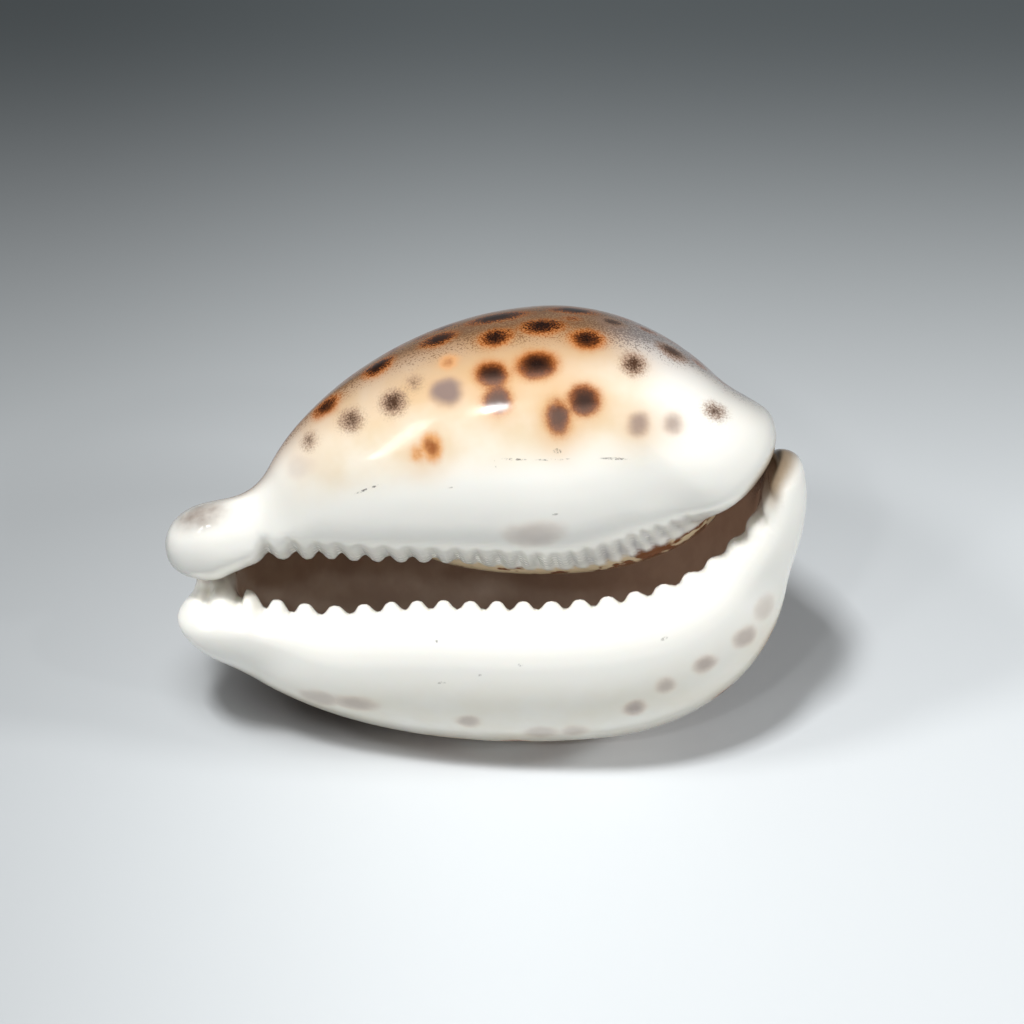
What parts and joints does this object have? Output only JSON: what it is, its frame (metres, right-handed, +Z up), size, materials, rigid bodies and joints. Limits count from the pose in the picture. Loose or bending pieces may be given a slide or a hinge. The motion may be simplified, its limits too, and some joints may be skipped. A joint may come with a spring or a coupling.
{
  "type": "tiger cowrie shell",
  "caption": "Empty glossy egg-shaped sea shell lying on its rounded back, its pale flat side turned up to show a long toothed slit into the hollow.",
  "frame": {"origin": "centre of the bounding box's footprint, on the surface the shell rests on", "axes": "+Z up, +X along the shell towards its broad rounded back end, -Y the side the slit faces"},
  "size_m": [0.0844, 0.0504, 0.0589],
  "materials": {
    "shell": "naturally glossy enamel, white base, cream sides with dark brown spots"
  },
  "bodies": {
    "root": {"shell": "shell"}
  },
  "joints": []
}
